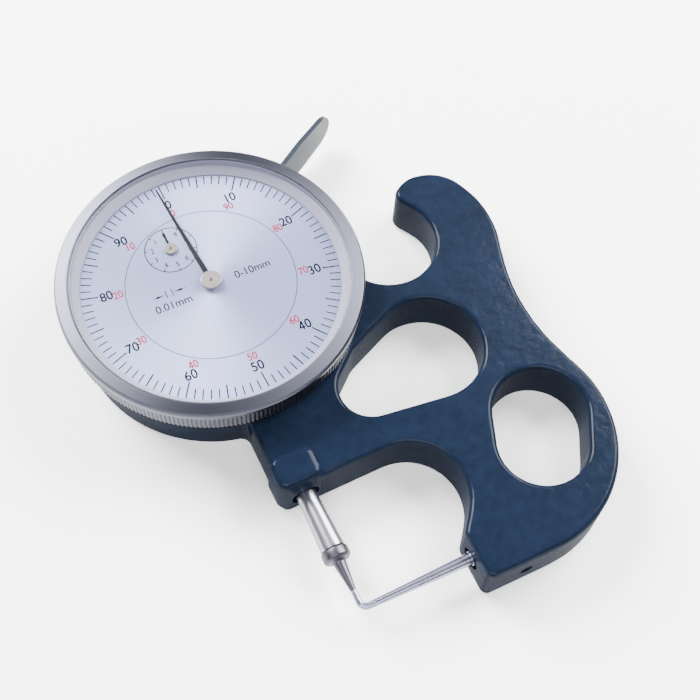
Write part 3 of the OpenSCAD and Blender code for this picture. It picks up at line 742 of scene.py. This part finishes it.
COUNTER_LOW, COUNTER_HIGH = (Vector(corner).to_2d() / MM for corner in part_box("counter_hub"))
COUNTER = (COUNTER_LOW + COUNTER_HIGH) / 2
COUNTER_R, COUNTER_MARK_R, COUNTER_FIGURE_R = 5.1, 4.5, 3.6
COUNTER_FIGURE_H = 1.1
COUNTER_TURNS = 10
COUNTER_LINE, COUNTER_STEPS = 0.18, 96
FINE_LINE = 0.17
ARROWS_X, ARROWS_Y = -8.3, 1.05
ARROW_LINE_X, ARROW_LINE_H = 0.6, 1.7
ARROW_SHAFT = (0.35, 2.75)
ARROW_SHAFT_WIDE = 0.13
# Corners of an arrow head, outwards from its line and upwards from the shaft
ARROW_HEAD = ((0.35, 0), (1.95, -0.24), (2.1, 0), (1.95, 0.24))

small = Print(PRINT_Z)
small.ring(COUNTER, COUNTER_R, COUNTER_LINE, COUNTER_STEPS)
for i in range(COUNTER_TURNS):
    a = math.radians(90 + 360 * i / COUNTER_TURNS)
    spoke = Vector((math.cos(a), math.sin(a)))
    small.bar(COUNTER + spoke * COUNTER_MARK_R, COUNTER + spoke * COUNTER_R, FINE_LINE)
    small.text(str(i), COUNTER + spoke * COUNTER_FIGURE_R, COUNTER_FIGURE_H, bold=0.02)
for side in (-1, 1):
    x = ARROWS_X + side * ARROW_LINE_X
    small.bar((x, ARROWS_Y - ARROW_LINE_H / 2), (x, ARROWS_Y + ARROW_LINE_H / 2), FINE_LINE)
    near, far = ((x + side * d, ARROWS_Y) for d in ARROW_SHAFT)
    small.bar(near, far, ARROW_SHAFT_WIDE)
    small.patch([(x + side * d, ARROWS_Y + h) for d, h in ARROW_HEAD])
piece("inner_print_black", small.mesh("inner_print_black"), "gauge_body", ["black_ink"])

# Division and range in plain words, and a ring of painted shadow in the gap between the two dials

WORDS_H = 1.65
DIVISION_WORDS, RANGE_WORDS = (-8.4, -1.5), (8.4, -0.35)
GAP_SHADOW_WIDE, GAP_SHADOW_DOWN, GAP_SHADOW_STEPS = 0.15, 0.05, 192

words = Print(PRINT_Z)
words.text("0.01mm", DIVISION_WORDS, WORDS_H, narrow=0.97, bold=0.02)
words.text("0-10mm", RANGE_WORDS, WORDS_H, narrow=0.94, bold=0.02)
piece("inner_print_grey", words.mesh("inner_print_grey"), "gauge_body", ["grey_ink"])
# A dark ring a little under the dials, in the gap between them: a painted shadow
gap_shadow = Print(DIAL_Z - GAP_SHADOW_DOWN)
gap_shadow.ring((0, 0), INNER_DIAL_R + GAP_SHADOW_WIDE / 2, GAP_SHADOW_WIDE, GAP_SHADOW_STEPS)
piece("dial_gap_shadow", gap_shadow.mesh("dial_gap_shadow"), "gauge_body", ["gap_shadow"])

# Hands and hubs

finished("main_hand", "pointer", "hand", bevel_mm=0.04)
finished("main_hub", "pointer", "nickel", bevel_mm=0.12, segments=3)
finished("counter_hand", "counter", "hand", bevel_mm=0.03)
finished("counter_hub", "counter", "counter_hub", bevel_mm=0.08, segments=3)

# Finishes of the pieces that stay as modelled

AS_MODELLED = {
    "satin": [
        "cover_screws",
        "guide_pin",
        "spring_post",
        "lever_pivot",
        "plate_screws",
        "bridge_screws",
        "hairspring_arbor",
        "hairspring_stud",
    ],
    "arbor_dot": ["rack_pinion", "centre_pinion"],
    "brass": [
        "stem_bush",
        "guide_block",
        "main_plate",
        "pinion_cock",
        "bridge",
        "bridge_pillars",
        "counter_gear",
        "hairspring_gear",
    ],
    "spring": ["return_spring", "bezel_wire"],
    "blued": ["hairspring"],
    "dial": ["inner_dial", "dial_ring"],
}
for finish, nodes in AS_MODELLED.items():
    for node in nodes:
        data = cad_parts[node].data
        data.materials.clear()
        data.materials.append(FINISHES[finish])

# Floor, light and camera, in metres where no unit is named

FLOOR_HALF = 1.5
FLOOR_DOWN_MM = 0.05
SKY_LOW, SKY_HIGH = linear("#e6e7ea"), linear("#7c7e85")
SKY_STRENGTH = 0.8
CAMERA_MM = (-37.38, -119.81, 225.39)
CAMERA_AIM_MM = (17.97, -24.44, 15.9)
CAMERA_ROLL_DEG = 4.89
CAMERA_LENS_MM, CAMERA_SENSOR_MM = 64.48, 36
CAMERA_NEAR = 0.005


def floor():
    """Plain white studio floor just under the gauge."""
    bm = bmesh.new()
    bmesh.ops.create_grid(bm, x_segments=1, y_segments=1, size=FLOOR_HALF)
    obj = bpy.data.objects.new("floor", mesh_from(bm, "floor"))
    bpy.context.scene.collection.objects.link(obj)
    obj.location.z = -FLOOR_DOWN_MM * MM
    obj.data.materials.append(plain("white_studio_floor", "#ffffff", 0.0, 0.8))


def area_light(name, place, target, size, power):
    data = bpy.data.lights.new(name, "AREA")
    data.shape = "RECTANGLE"
    data.size, data.size_y = size
    data.energy = power
    obj = bpy.data.objects.new(name, data)
    bpy.context.scene.collection.objects.link(obj)
    obj.location = place
    obj.rotation_euler = (Vector(target) - Vector(place)).to_track_quat("-Z", "Y").to_euler()


def sky():
    """Soft surround: pale at the horizon and greyer overhead."""
    world = bpy.data.worlds.new("studio")
    bpy.context.scene.world = world
    world.use_nodes = True
    t = world.node_tree
    t.nodes.clear()
    coords = add(t, "ShaderNodeTexCoord")
    parts = add(t, "ShaderNodeSeparateXYZ", {0: (coords, "Generated")})
    ramp = add(t, "ShaderNodeValToRGB", {"Fac": (parts, "Z")}, stops=((0.05, SKY_LOW), (0.7, SKY_HIGH)))
    back = add(t, "ShaderNodeBackground", {"Color": (ramp, 0), "Strength": SKY_STRENGTH})
    add(t, "ShaderNodeOutputWorld", {"Surface": (back, 0)})


def camera():
    """Camera of the photograph: its place, aim, roll and lens came from a fit to the dial and the frame."""
    place = Vector(CAMERA_MM) * MM
    back = (place - Vector(CAMERA_AIM_MM) * MM).normalized()
    level = Vector((0, 0, 1)).cross(back).normalized()
    up = back.cross(level)
    roll = math.radians(CAMERA_ROLL_DEG)
    right = math.cos(roll) * level + math.sin(roll) * up
    top = -math.sin(roll) * level + math.cos(roll) * up
    data = bpy.data.cameras.new("photo_camera")
    data.sensor_width = CAMERA_SENSOR_MM
    data.lens = CAMERA_LENS_MM
    data.clip_start = CAMERA_NEAR
    obj = bpy.data.objects.new("photo_camera", data)
    bpy.context.scene.collection.objects.link(obj)
    rows = [[right[i], top[i], back[i], place[i]] for i in range(3)]
    obj.matrix_world = Matrix([*rows, [0, 0, 0, 1]])
    bpy.context.scene.camera = obj


floor()
sky()
area_light("key", place=(-0.2, 0.47, 0.42), target=(0, 0, 0), size=(0.4, 0.4), power=26)
area_light("fill", place=(0.48, 0.06, 0.4), target=(0.02, -0.02, 0), size=(0.42, 0.42), power=18)
area_light(
    "sheen", place=(0.24, 0.245, 0.52), target=(0.045, -0.012, 0.011), size=(0.14, 0.14), power=0.12
)
area_light("front", place=(-0.17, -0.31, 0.46), target=(0.02, -0.03, 0), size=(0.6, 0.3), power=5.5)
camera()
